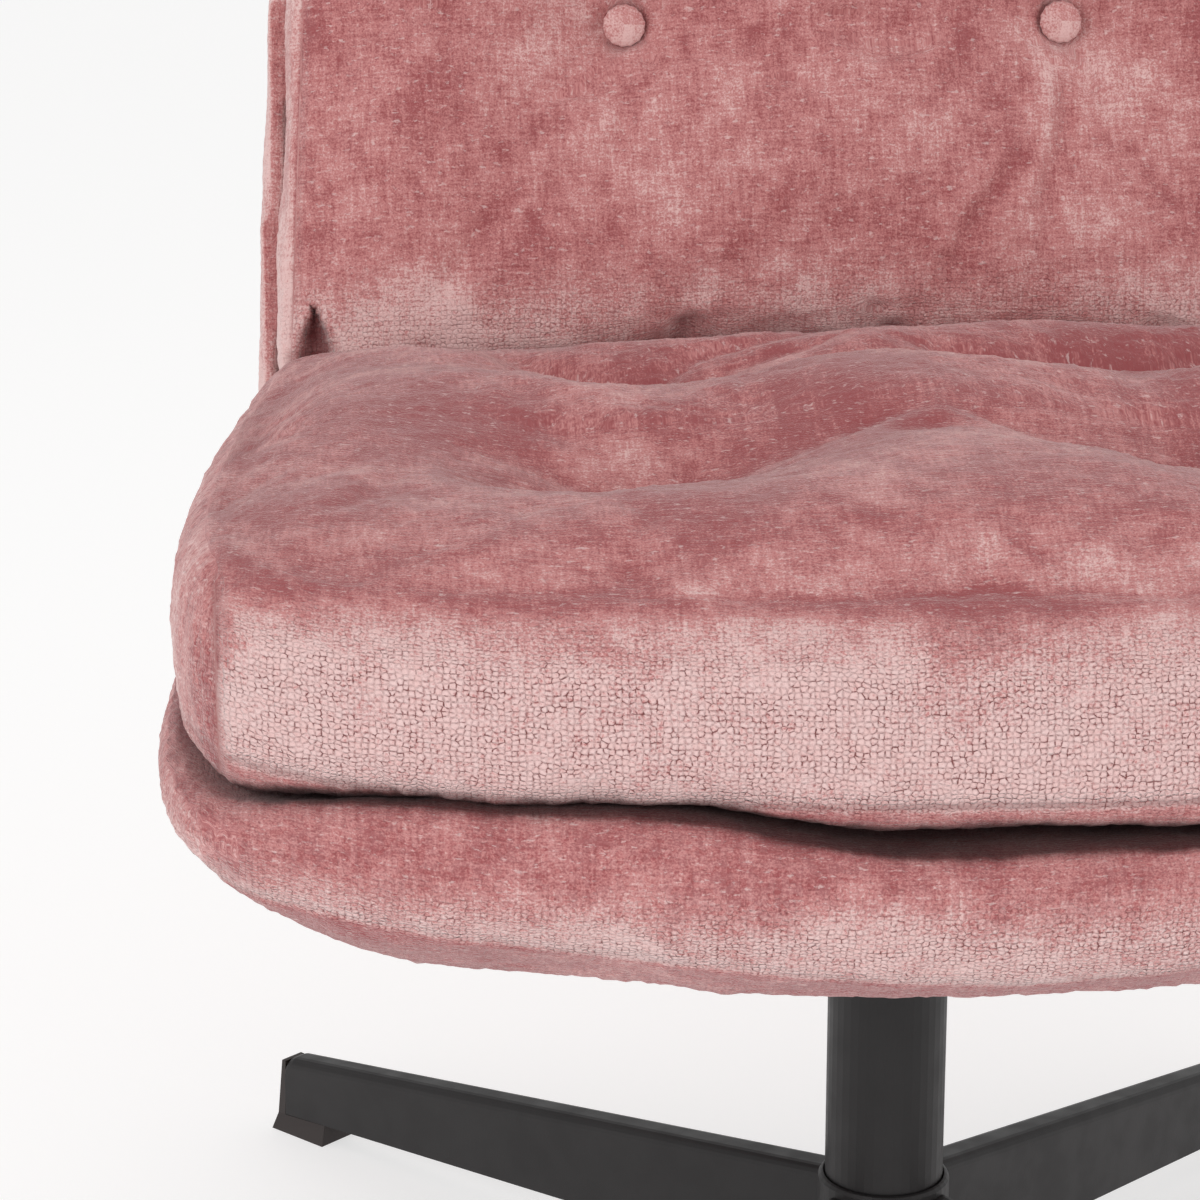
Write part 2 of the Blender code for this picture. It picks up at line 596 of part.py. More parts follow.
def make_back_frame(leaning, rear_rail, wood, webbing, bare_steel):
    inner = FRAME_HALF_WIDTH - RAIL_THICK
    chamfer = 0.001
    rear = GAP + UPRIGHT_DEPTH
    upright_middle = inner + RAIL_THICK / 2
    bolt_sites = [(x, z) for x in (-upright_middle, upright_middle) for z in FRAME_BOLT_HEIGHTS]
    bores = pin_cutters("frame_bolt_bores", bolt_sites, BOLT_RADIUS + GAP, -0.08, 0.02)
    bore_tool = cutter("frame_bolt_cutter", stand_up(bores), leaning)
    cut(rear_rail, bore_tool)
    for side, sign in (("left", -1), ("right", 1)):
        xs = sorted((sign * inner, sign * FRAME_HALF_WIDTH))
        upright = box("back_upright", (xs[0], GAP, UPRIGHT_BOTTOM), (xs[1], rear, UPRIGHT_TOP), chamfer)
        cut(place(f"back_upright_{side}", upright, leaning, wood), bore_tool)
    for name, (low, high) in BACK_RAILS.items():
        span = inner - GAP
        rail = box(name, (-span, GAP, low), (span, GAP + RAIL_THICK, high), chamfer)
        place(name, rail, leaning, wood)
    for number, z in enumerate((0.205, 0.295, 0.385), 1):
        strap = strap_mesh("back_webbing", 2 * FRAME_HALF_WIDTH - 0.006)
        strap.transform(Matrix.Rotation(math.radians(90), 4, "X"))
        place(f"back_webbing_{number}", strap, leaning, webbing, (0, 0, z))
    for number, (x, z) in enumerate(bolt_sites, 1):
        bolt = bolt_mesh("frame_bolt", FRAME_BOLT_LENGTH, 0.012, 0.005)
        bolt.transform(Matrix.Rotation(math.radians(90), 4, "X"))
        place(f"frame_bolt_{number}", bolt, leaning, bare_steel, (x, rear + GAP, z))


def make_seat_upholstery(turning, leaning, fabric):
    shell = place("seat_shell", shell_body("seat_shell"), turning, fabric)
    clearance = 0.002
    hollow = box(
        "seat_hollow", (-FRAME_HALF_WIDTH - clearance, FRAME_FRONT - clearance, 0.28),
        (FRAME_HALF_WIDTH + clearance, 0.4, DECK_BOTTOM),
    )
    rear = box("behind_seat", (-0.35, -0.001, -0.05), (0.35, 0.20, 0.15))
    hollow_tool = cutter("seat_hollow_cutter", hollow, turning)
    cut(shell, hollow_tool, cutter("seat_rear_cutter", rear, leaning))

    plan = closed_curve(CUSHION_PLAN, OUTLINE_POINTS)
    cushion_mesh = padded_body(
        "seat_cushion", plan, CUSHION_BOTTOM, CUSHION_EDGE_TOP, CUSHION_EDGE, CUSHION_CROWN,
        SEAT_TUFTS, SEAT_TUFT_DEPTH,
    )
    middle = (CUSHION_BOTTOM + CUSHION_EDGE_TOP) / 2
    for vertex in cushion_mesh.vertices:
        share = min(1.0, max(0.0, vertex.co.y / 0.14))
        vertex.co.y += share * math.tan(LEAN) * (vertex.co.z - middle)
    cushion = place("seat_cushion", cushion_mesh, turning, fabric)
    level = CUSHION_EDGE_TOP + 0.9 * CUSHION_CROWN - SEAT_TUFT_DEPTH
    pockets = pin_cutters("seat_pockets", SEAT_TUFTS, BUTTON_RADIUS + 0.0006, level - GAP, 0.52)
    cut(cushion, cutter("seat_pocket_cutter", pockets, turning))
    for number, (x, y) in enumerate(SEAT_TUFTS, 1):
        place(f"seat_button_{number}", button_mesh(), turning, fabric, (x, y, level))


def tapered(outline):
    """The outline with its sides coming in towards the top of the back."""
    return [Vector((x * (1 - BACK_TAPER * z / BACK_HALF_WIDTH), z)) for x, z in outline]


def back_outline(half_width, bottom, top, corner):
    """The back seen from the front: square feet and round upper corners."""
    right = arc((half_width - corner, top - corner), corner, 0, 90, 8)
    left = arc((corner - half_width, top - corner), corner, 90, 180, 8)
    return tapered([(half_width, bottom), *right, *left, (-half_width, bottom)])


def make_back_upholstery(leaning, fabric):
    outer = back_outline(BACK_HALF_WIDTH, BACK_FOOT, BACK_HEIGHT, BACK_CORNER)
    shell_mesh = prism("back_shell", outer, 1, 0.0, BACK_DEPTH)
    bm = bmesh.new()
    bm.from_mesh(shell_mesh)
    rear_verts = {vertex for vertex in bm.verts if vertex.co.y > BACK_DEPTH / 2}
    foot_verts = {vertex for vertex in bm.verts if vertex.co.z < BACK_FOOT + GAP}
    rear_edges = [
        edge for edge in bm.edges
        if rear_verts.issuperset(edge.verts) and not foot_verts.issuperset(edge.verts)
    ]
    bmesh.ops.bevel(bm, geom=rear_edges, offset=0.016, segments=4, profile=0.5, affect="EDGES")
    shell = place("back_shell", mesh_from(bm, "back_shell"), leaning, fabric)
    inner = back_outline(
        BACK_HALF_WIDTH - BACK_WALL, BACK_FOOT + BACK_WALL / 3, BACK_HEIGHT - BACK_WALL,
        BACK_CORNER - BACK_WALL,
    )
    hollow = prism("back_hollow", inner, 1, -0.02, BACK_DEPTH - BACK_PANEL)
    cut(shell, cutter("back_hollow_cutter", hollow, leaning))

    outline = rounded_rectangle(PAD_HALF_WIDTH, PAD_BOTTOM, PAD_TOP, PAD_CORNER, 5, 10)
    pad_mesh = padded_body(
        "back_cushion", tapered(outline), PAD_REAR, PAD_REAR + PAD_EDGE_THICK, PAD_EDGE, PAD_CROWN,
        BACK_TUFTS, BACK_TUFT_DEPTH,
    )
    pad = place("back_cushion", stand_up(pad_mesh), leaning, fabric)
    level = PAD_REAR + PAD_EDGE_THICK + 0.9 * PAD_CROWN - BACK_TUFT_DEPTH
    pockets = pin_cutters("back_pockets", BACK_TUFTS, BUTTON_RADIUS + 0.0006, level - GAP, 0.16)
    cut(pad, cutter("back_pocket_cutter", stand_up(pockets), leaning))
    for number, (x, z) in enumerate(BACK_TUFTS, 1):
        place(f"back_button_{number}", stand_up(button_mesh()), leaning, fabric, (x, -level, z))


def main():
    for obj in list(bpy.data.objects):
        bpy.data.objects.remove(obj)
    black_steel = new_material("black_powder_coat", (0.035, 0.034, 0.034), 0.5)
    bare_steel = new_material("zinc_plated_steel", (0.62, 0.62, 0.60), 0.35, 1.0)
    plastic = new_material("black_plastic", (0.03, 0.025, 0.024), 0.55)
    nylon = new_material("nylon", (0.85, 0.84, 0.80), 0.45)
    fabric = new_material("rose_chenille", (0.52, 0.24, 0.24), 0.9)
    wood = new_material("pine", (0.68, 0.50, 0.31), 0.6)
    plywood = new_material("plywood", (0.72, 0.56, 0.38), 0.6)
    webbing = new_material("elastic_webbing", (0.60, 0.56, 0.50), 0.85)
    felt = new_material("non_woven_cover", (0.03, 0.03, 0.03), 0.95)

    root = new_empty("base_centre", location=(0, AXIS_Y, 0))
    turning = new_empty("swivel_axis", location=(0, AXIS_Y, 0))
    leaning = new_empty("back_frame", turning, (0, BACK_Y, BACK_Z), -LEAN)
    flange_bottom = make_base(root, black_steel, plastic, nylon)
    bolt_centres = make_swivel(turning, flange_bottom, black_steel, bare_steel)
    rear_rail = make_seat_frame(turning, bolt_centres, wood, plywood, webbing, felt)
    make_back_frame(leaning, rear_rail, wood, webbing, bare_steel)
    make_seat_upholstery(turning, leaning, fabric)
    make_back_upholstery(leaning, fabric)


main()
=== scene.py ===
"""Looks for the armless swivel chair: chenille upholstery swelled by a cloth simulation over the CAD
bodies, finished materials on the base and frame, a pale floor, soft studio light and the camera."""

import json
import math

import bmesh
import bpy
import numpy as np
from mathutils import Matrix, Vector, noise


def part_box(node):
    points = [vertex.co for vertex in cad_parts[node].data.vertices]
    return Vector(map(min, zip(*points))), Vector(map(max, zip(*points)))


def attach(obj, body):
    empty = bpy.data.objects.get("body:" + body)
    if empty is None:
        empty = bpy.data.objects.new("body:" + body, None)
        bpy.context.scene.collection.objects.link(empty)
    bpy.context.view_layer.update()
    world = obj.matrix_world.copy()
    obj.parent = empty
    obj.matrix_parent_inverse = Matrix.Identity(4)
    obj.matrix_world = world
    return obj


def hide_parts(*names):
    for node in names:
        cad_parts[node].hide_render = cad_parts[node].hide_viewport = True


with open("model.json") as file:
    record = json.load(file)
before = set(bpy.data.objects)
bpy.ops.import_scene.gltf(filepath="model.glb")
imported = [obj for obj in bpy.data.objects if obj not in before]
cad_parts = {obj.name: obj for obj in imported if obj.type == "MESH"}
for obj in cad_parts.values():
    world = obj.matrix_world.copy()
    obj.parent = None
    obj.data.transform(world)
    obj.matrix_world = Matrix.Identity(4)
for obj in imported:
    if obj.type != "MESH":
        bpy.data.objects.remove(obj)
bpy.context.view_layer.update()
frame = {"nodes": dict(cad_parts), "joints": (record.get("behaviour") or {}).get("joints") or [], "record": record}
scene = bpy.context.scene

AXIS_Y = frame["joints"][0]["pos_m"][1]
LEAN = math.radians(15)  # of the back
BACK_FOOT = (0, AXIS_Y + 0.221, 0.303)  # where the back shell's front meets its lower edge
BACK_FRAME = Matrix.Translation(BACK_FOOT) @ Matrix.Rotation(-LEAN, 4, "X")
VOXEL = 0.0055  # side of the cloth mesh
FLOOR_HALF = 9

PRESSURE = 4.0
SLACK = 0.02  # share that the cloth may grow
CLOTH_STEPS = 20
REFILL = 0.9  # how far fill_out goes back to the CAD shape
NO_SEAM = 1.0  # a distance at which no seam is seen
LEVEL_STRIPS = 80

TUFT_ROW_DEPTH = 0.007  # of the valley that joins a row of seat tufts
CREASE_WIDTH, CREASE_DEPTH = 0.0075, 0.0062
# Angle, start and end of each pull crease under a back button
CREASES = ((-88, 0.01, 0.07), (-104, 0.02, 0.13), (-116, 0.05, 0.16), (-97, 0.08, 0.15))
CORNER_FOLD_APEX = (-0.259, 0.11, 0.480)
BACK_TAPER = 0.052  # how much each side of the back cushion comes in for each metre up

BUTTON_RADIUS, BUTTON_GATHERS, BUTTON_GATHER = 0.0102, 14, 0.0003
STAPLE_SIZE = (0.0100, 0.0012, 0.0007)
STAPLE_GAPS = 12  # between the staples along one side
STAPLE_INSET, STAPLE_END = 0.006, 0.02


# Camera, light and floor

def look_from(location, heading, pitch, focal_length):
    camera = bpy.data.objects.new("camera", bpy.data.cameras.new("camera"))
    scene.collection.objects.link(camera)
    camera.location = location
    camera.rotation_euler = (math.radians(90 - pitch), 0, -math.radians(heading))
    camera.data.lens = focal_length
    camera.data.sensor_width = 36
    scene.camera = camera


def area_light(name, location, target, size, power):
    data = bpy.data.lights.new(name, "AREA")
    data.shape = "RECTANGLE"
    data.size, data.size_y = size
    data.energy = power
    light = bpy.data.objects.new(name, data)
    scene.collection.objects.link(light)
    light.location = location
    light.rotation_euler = (Vector(target) - Vector(location)).to_track_quat("-Z", "Y").to_euler()


def build_studio():
    look_from((-0.2338, -1.662, 0.8519), 3.57, 16.4, 114)
    scene.view_settings.view_transform = "Standard"
    world = bpy.data.worlds.new("studio")
    scene.world = world
    world.use_nodes = True
    nodes, links = world.node_tree.nodes, world.node_tree.links
    place = nodes.new("ShaderNodeTexCoord")
    parts = nodes.new("ShaderNodeSeparateXYZ")
    fall = nodes.new("ShaderNodeMapRange")
    fall.inputs["From Max"].default_value = 0.45
    fall.inputs["To Min"].default_value = 0.93
    fall.inputs["To Max"].default_value = 0.62
    links.new(place.outputs["Generated"], parts.inputs[0])
    links.new(parts.outputs["Z"], fall.inputs["Value"])
    links.new(fall.outputs[0], nodes["Background"].inputs["Strength"])
    nodes["Background"].inputs["Color"].default_value = (1.0, 1.0, 1.0, 1.0)
    area_light("overhead", (0.2, -0.3, 2.6), (0, 0, 0.4), (2.6, 2.2), 6)
    area_light("front_left", (-1.9, -2.4, 1.7), (0, 0, 0.4), (1.6, 1.8), 27)
    area_light("front_right", (2.2, -2.0, 1.2), (0, 0, 0.4), (1.4, 1.6), 10.5)
    bm = bmesh.new()
    bmesh.ops.create_grid(bm, x_segments=1, y_segments=1, size=FLOOR_HALF)
    mesh = bpy.data.meshes.new("floor")
    bm.to_mesh(mesh)
    bm.free()
    floor = bpy.data.objects.new("floor", mesh)
    scene.collection.objects.link(floor)
    mesh.materials.append(floor_material())


# Material building

class Nodes:
    """Adds nodes to a material and links them."""

    def __init__(self, name):
        self.material = bpy.data.materials.new(name)
        self.material.use_nodes = True
        self.tree = self.material.node_tree
        self.shader = self.tree.nodes["Principled BSDF"]

    def add(self, kind, inputs=None, **settings):
        node = self.tree.nodes.new(kind)
        for key, value in settings.items():
            setattr(node, key, value)
        for key, value in (inputs or {}).items():
            self.set(node.inputs[key], value)
        return node

    def set(self, socket, value):
        if isinstance(value, bpy.types.NodeSocket):
            self.tree.links.new(value, socket)
        else:
            socket.default_value = value

    def shade(self, **values):
        for key, value in values.items():
            self.set(self.shader.inputs[key.replace("_", " ")], value)

    def math(self, operation, *values):
        node = self.add("ShaderNodeMath", operation=operation)
        for socket, value in zip(node.inputs, values):
            self.set(socket, value)
        return node.outputs[0]

    def mix(self, share, first, second):
        """A colour between first and second."""
        node = self.add("ShaderNodeMix", data_type="RGBA")
        for index, value in ((0, share), (6, first), (7, second)):
            if isinstance(value, tuple) and len(value) == 3:
                value = (*value, 1.0)
            self.set(node.inputs[index], value)
        return node.outputs[2]

    def ramp(self, value, low, high, to_low=0.0, to_high=1.0):
        """value carried smoothly from low..high to to_low..to_high."""
        node = self.add("ShaderNodeMapRange", {0: value, 1: low, 2: high, 3: to_low, 4: to_high})
        node.interpolation_type = "SMOOTHSTEP"
        return node.outputs[0]

    def noise(self, vector, scale, detail=2.0, roughness=0.5, distortion=0.0):
        node = self.add("ShaderNodeTexNoise", {
            "Vector": vector, "Scale": scale, "Detail": detail, "Roughness": roughness,
            "Distortion": distortion})
        return node.outputs[0]

    def stretch(self, vector, factors):
        node = self.add("ShaderNodeVectorMath", {0: vector, 1: factors}, operation="MULTIPLY")
        return node.outputs[0]

    def objects_own(self):
        return self.add("ShaderNodeTexCoord").outputs["Object"]

    def attribute(self, name):
        return self.add("ShaderNodeAttribute", attribute_name=name).outputs["Fac"]

    def bump(self, height, distance, strength=1.0, normal=None):
        inputs = {"Height": height, "Distance": distance, "Strength": strength}
        if normal is not None:
            inputs["Normal"] = normal
        return self.add("ShaderNodeBump", inputs).outputs[0]


def floor_material():
    n = Nodes("pale_floor")
    grain = n.noise(n.objects_own(), 900, 3)
    n.shade(Base_Color=n.mix(grain, (0.52, 0.515, 0.51), (0.57, 0.565, 0.56)), Roughness=0.8,
            Normal=n.bump(grain, 0.0002, 0.3), Emission_Color=(1.0, 1.0, 1.0, 1.0), Emission_Strength=0.55)
    return n.material


def chenille(name):
    """Cut chenille: a jittered grid of tufts with dark cracks, under fibres that lie in lighter and
    darker patches, with painted light and shade from the tone and shade looks. It reads looks that
    finish_soft stores on each body."""
    n = Nodes(name)
    place = n.add("ShaderNodeSeparateXYZ", {0: n.objects_own()})
    x, y, z = place.outputs
    side = n.ramp(n.attribute("panel"), -0.0004, 0.0004)
    across = n.math("ADD", n.math("MULTIPLY", x, n.math("SUBTRACT", 1.0, side)),
                    n.math("MULTIPLY", y, side))
    along = n.math("ADD", z, n.math("MULTIPLY", n.attribute("fold"), n.math("SUBTRACT", 1.0, side)))
    level = n.math("MULTIPLY", side, 0.37)
    cloth = n.add("ShaderNodeCombineXYZ", {0: across, 1: along, 2: level}).outputs[0]

    wander = n.add("ShaderNodeTexNoise", {"Vector": cloth, "Scale": 150.0, "Detail": 1.0}).outputs["Color"]
    shift = n.stretch(wander, (0.0012, 0.0016, 0.0))
    woven = n.add("ShaderNodeVectorMath", {0: cloth, 1: shift}, operation="ADD").outputs[0]
    tuft_grid = n.stretch(woven, (400.0, 440.0, 0.0))
    edges = n.add("ShaderNodeTexVoronoi", {"Vector": tuft_grid, "Scale": 1.0, "Randomness": 0.58},
                  feature="DISTANCE_TO_EDGE", voronoi_dimensions="2D").outputs["Distance"]
    cells = n.add("ShaderNodeTexVoronoi", {"Vector": tuft_grid, "Scale": 1.0, "Randomness": 0.58},
                  feature="F1", voronoi_dimensions="2D").outputs["Color"]
    fibre = n.noise(n.stretch(cloth, (1150.0, 1050.0, 1.0)), 1.0, 2, 0.6)
    crumb = n.noise(n.stretch(cloth, (620.0, 700.0, 1.0)), 1.0, 2, 0.6)
    ragged = n.math("MULTIPLY_ADD", n.math("SUBTRACT", crumb, 0.5), 0.22, edges)
    crack = n.ramp(ragged, 0.0, 0.17, 1.0, 0.0)
    pile = n.attribute("pile")
    patches = n.noise(n.stretch(cloth, (70.0, 80.0, 1.0)), 1.0, 3, 0.6)
    crack = n.math("MULTIPLY", crack, n.math("MULTIPLY", pile, n.ramp(patches, 0.25, 0.62, 0.25, 1.0)))
    pits = n.ramp(n.noise(n.stretch(woven, (420.0, 460.0, 1.0)), 1.0, 1), 0.40, 0.66, 0.35, 1.25)
    crack = n.math("MULTIPLY", crack, pits)

    large = n.noise(cloth, 12.0, 2, 0.5, 0.3)
    middle = n.noise(n.stretch(cloth, (60.0, 52.0, 1.0)), 1.0, 3, 0.6)
    warp = n.noise(n.stretch(cloth, (430.0, 60.0, 1.0)), 1.0, 3, 0.65)
    weft = n.noise(n.stretch(cloth, (75.0, 430.0, 1.0)), 1.0, 3, 0.65)
    # Painted light and shade: this starts from the tone look, which darkens upward faces, bands under seams, one
    # side of each back crease and the corner fold, and lightens the seat cushion's front; the noises add the
    # fibres' random patches.
    nap_and_shade = n.math("MULTIPLY_ADD", n.math("SUBTRACT", large, 0.5), 0.95, n.attribute("tone"))
    nap_and_shade = n.math("MULTIPLY_ADD", n.math("SUBTRACT", middle, 0.5), 0.62, nap_and_shade)
    nap_and_shade = n.math("MULTIPLY_ADD", n.math("SUBTRACT", warp, 0.5), 0.58, nap_and_shade)
    nap_and_shade = n.math("MULTIPLY_ADD", n.math("SUBTRACT", weft, 0.5), 0.52, nap_and_shade)
    crumb_share = n.math("MULTIPLY_ADD", pile, 0.75, 0.45)
    nap_and_shade = n.math("MULTIPLY_ADD", n.math("SUBTRACT", crumb, 0.5), crumb_share, nap_and_shade)
    nap_and_shade = n.math("MULTIPLY_ADD", n.math("SUBTRACT", fibre, 0.5), 0.85, nap_and_shade)
    lit = n.ramp(nap_and_shade, 0.0, 1.0)

    colour = n.mix(n.ramp(lit, 0.0, 0.5), (0.33, 0.085, 0.090), (0.55, 0.225, 0.218))
    colour = n.mix(n.ramp(lit, 0.45, 1.0), colour, (0.78, 0.52, 0.50))
    tint = n.add("ShaderNodeSeparateColor", {0: cells}).outputs[0]
    colour = n.mix(n.math("MULTIPLY", n.math("MULTIPLY", tint, pile), 0.30), colour, (0.84, 0.68, 0.67))
    fleck = n.ramp(n.noise(n.stretch(cloth, (190.0, 420.0, 1.0)), 1.0, 3, 0.7), 0.58, 0.68)
    colour = n.mix(n.math("MULTIPLY", fleck, 0.50), colour, (0.80, 0.62, 0.60))
    colour = n.mix(n.math("MULTIPLY", crack, 0.94), colour, (0.19, 0.058, 0.055))
    seam = n.ramp(n.attribute("seam"), 0.0002, 0.0028, 1.0, 0.0)
    colour = n.mix(n.math("MULTIPLY", seam, 0.50), colour, (0.17, 0.042, 0.042))
    # Painted shade: colour goes towards near black where the shade look is high, and the sheen fades there too.
    shade = n.attribute("shade")
    colour = n.mix(shade, colour, (0.035, 0.009, 0.009))

    clear = n.ramp(n.math("ABSOLUTE", n.attribute("panel")), 0.0002, 0.0012)
    normal = n.bump(fibre, 0.0006, n.math("MULTIPLY", clear, 0.5))
    threads = n.math("ADD", n.math("ADD", warp, weft), crumb)
    normal = n.bump(threads, 0.0009, n.math("MULTIPLY", clear, 0.6), normal)
    tufts = n.math("MULTIPLY", n.ramp(edges, 0.0, 0.28), pile)
    normal = n.bump(tufts, 0.0010, n.math("MULTIPLY", clear, 0.55), normal)
    normal = n.bump(n.ramp(n.attribute("seam"), 0.0, 0.006), 0.0020, 0.8, normal)
    n.shade(Base_Color=colour, Roughness=0.88, Normal=normal, Sheen_Roughness=0.40,
            Sheen_Weight=n.math("MULTIPLY_ADD", shade, -0.6, 0.6),
            Sheen_Tint=(0.90, 0.80, 0.79, 1.0), Specular_IOR_Level=0.12)
    return n.material


def powder_coat():
    n = Nodes("black_powder_coat")
    own = n.objects_own()
    peel = n.noise(own, 1400, 2)
    cloud = n.noise(own, 14, 3)
    n.shade(Base_Color=n.mix(cloud, (0.0125, 0.0110, 0.0113), (0.019, 0.0168, 0.0172)),
            Roughness=n.ramp(n.noise(own, 60, 3), 0.3, 0.7, 0.42, 0.52), Normal=n.bump(peel, 0.0002, 0.35),
            Specular_IOR_Level=0.34)
    return n.material


def moulded(name, dark, light, roughness):
    n = Nodes(name)
    own = n.objects_own()
    grain = n.noise(own, 2200, 2)
    n.shade(Base_Color=n.mix(n.noise(own, 30, 3), dark, light), Roughness=roughness,
            Normal=n.bump(grain, 0.00015, 0.4))
    return n.material


def zinc():
    n = Nodes("zinc_plate")
    own = n.objects_own()
    spangle = n.noise(own, 220, 4)
    n.shade(Base_Color=n.mix(spangle, (0.55, 0.56, 0.57), (0.74, 0.73, 0.70)), Metallic=1.0,
            Roughness=n.ramp(spangle, 0.3, 0.7, 0.28, 0.48),
            Normal=n.bump(n.noise(own, 900, 2), 0.0001, 0.3))
    return n.material


def wood(name, dark, light, grain_along):
    """Sawn wood with rings stretched along one axis."""
    n = Nodes(name)
    factors = [90.0, 90.0, 90.0]
    factors[grain_along] = 4.0
    own = n.stretch(n.objects_own(), tuple(factors))
    rings = n.noise(own, 1.0, 5, 0.6, 1.2)
    pores = n.noise(n.stretch(own, (9.0, 9.0, 9.0)), 1.0, 2)
    colour = n.mix(n.ramp(rings, 0.35, 0.65), dark, light)
    n.shade(Base_Color=n.mix(n.math("MULTIPLY", pores, 0.25), colour, dark), Roughness=0.62,
            Normal=n.bump(rings, 0.0003, 0.4))
    return n.material


def webbing():
    n = Nodes("elastic_webbing")
    own = n.objects_own()
    weave = n.add("ShaderNodeTexWave", {"Vector": own, "Scale": 260.0, "Distortion": 0.4},
                  bands_direction="DIAGONAL")
    ribs = weave.outputs["Fac"]
    n.shade(Base_Color=n.mix(ribs, (0.36, 0.32, 0.27), (0.62, 0.57, 0.50)), Roughness=0.85,
            Normal=n.bump(ribs, 0.0005, 0.6))
    return n.material


def felt():
    n = Nodes("non_woven_cover")
    own = n.objects_own()
    fibres = n.noise(n.stretch(own, (500.0, 180.0, 300.0)), 1.0, 3, 0.6, 1.5)
    n.shade(Base_Color=n.mix(fibres, (0.015, 0.015, 0.016), (0.045, 0.044, 0.044)), Roughness=0.95,
            Normal=n.bump(fibres, 0.0004, 0.5), Sheen_Weight=0.2)
    return n.material


# Soft bodies

def coordinates(mesh):
    co = np.empty(len(mesh.vertices) * 3)
    mesh.vertices.foreach_get("co", co)
    return co.reshape(-1, 3)


def set_coordinates(mesh, co):
    mesh.vertices.foreach_set("co", co.ravel())
    mesh.update()


def set_attribute(mesh, name, values):
    attribute = mesh.attributes.new(name, "FLOAT", "POINT")
    attribute.data.foreach_set("value", values.astype(np.float32))


def baked(obj):
    """Applies the object's modifiers to its mesh."""
    graph = bpy.context.evaluated_depsgraph_get()
    mesh = bpy.data.meshes.new_from_object(obj.evaluated_get(graph))
    mesh.name = obj.name
    obj.modifiers.clear()
    obj.data = mesh
    obj.vertex_groups.clear()


def soft_copy(node, name, local=Matrix.Identity(4)):
    """A remeshed copy of a CAD node, its vertices in the local frame."""
    mesh = frame["nodes"][node].data.copy()
    mesh.name = name
    mesh.materials.clear()
    mesh.transform(local.inverted())
    obj = bpy.data.objects.new(name, mesh)
    scene.collection.objects.link(obj)
    obj.matrix_world = local
    remesh = obj.modifiers.new("Remesh", "REMESH")
    remesh.mode = "VOXEL"
    remesh.voxel_size = VOXEL
    baked(obj)
    return obj


def swell(obj, pinned, cap):
    """Swells a padded body with a cloth simulation. pinned marks the vertices that stay; no vertex goes
    further than cap."""
    rest = coordinates(obj.data)
    group = obj.vertex_groups.new(name="pinned")
    group.add(np.flatnonzero(pinned).tolist(), 1.0, "REPLACE")
    cloth = obj.modifiers.new("Cloth", "CLOTH")
    settings = cloth.settings
    settings.quality = 4
    settings.mass = 0.3
    settings.tension_stiffness = settings.compression_stiffness = 12
    settings.shear_stiffness = 5
    settings.bending_stiffness = 1.5
    settings.air_damping = 2
    settings.shrink_min = -SLACK
    settings.vertex_group_mass = group.name
    settings.use_pressure = True
    settings.uniform_pressure_force = PRESSURE
    settings.effector_weights.gravity = 0
    cloth.collision_settings.use_collision = False
    cloth.point_cache.frame_end = CLOTH_STEPS
    for step in range(1, CLOTH_STEPS + 1):
        scene.frame_set(step)
    baked(obj)
    scene.frame_set(1)
    moved = coordinates(obj.data) - rest
    length = np.linalg.norm(moved, axis=1, keepdims=True)
    set_coordinates(obj.data, rest + moved * np.minimum(1, cap / np.maximum(length, 1e-9)))


def fill_out(obj, body, share):
    """Brings what lies inside the body's own shape back towards it. body holds the coordinates and normals
    from before."""
    co = coordinates(obj.data)
    moved = co - body["co"]
    inward = np.minimum(0, (moved * body["normal"]).sum(axis=1))
    set_coordinates(obj.data, co - body["normal"] * (share * inward)[:, None])


def refine(obj):
    modifier = obj.modifiers.new("Subdivision", "SUBSURF")
    modifier.levels = modifier.render_levels = 1
    baked(obj)
    obj.data.shade_smooth()


def bell(distance, spread):
    return np.exp(-(distance / spread) ** 2)


def step_up(values, low, high):
    t = np.clip((values - low) / (high - low), 0, 1)
    return t * t * (3 - 2 * t)


def lumps(co, scale, seed):
    """Smooth noise from -1 to 1 at each point."""
    offset = Vector((seed * 7.3, seed * 3.1, seed * 5.7))
    return np.array([noise.noise(Vector(p) * scale + offset) for p in co])


def roughness_of(co, seed):
    """Slow swells of the filling, small lumps of the cloth and the tufts of its pile."""
    swells = 0.0022 * lumps(co, 11, seed)
    return swells + 0.0013 * lumps(co, 38, seed + 1) + 0.0009 * lumps(co, 230, seed + 2)


def finish_soft(obj, material, node_names, looks):
    """Stores on a fabric body what its material reads: panel, above 0 where the cloth runs sideways;
    fold, the way that the cloth runs where it turns level; seam, the distance to a seam; tone, the lie of the
    fibres plus painted light and shade; pile, how far the tufts stand apart; shade, painted shade that
    grows with how deep a spot lies between two cushions."""
    mesh = obj.data
    for name in ("panel", "fold", "seam", "tone", "pile", "shade"):
        values = looks.get(name, NO_SEAM if name == "seam" else 0.0)
        set_attribute(mesh, name, np.broadcast_to(values, len(mesh.vertices)))
    mesh.materials.append(material)
    mesh.shade_smooth()
    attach(obj, "seat")
    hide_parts(*node_names)


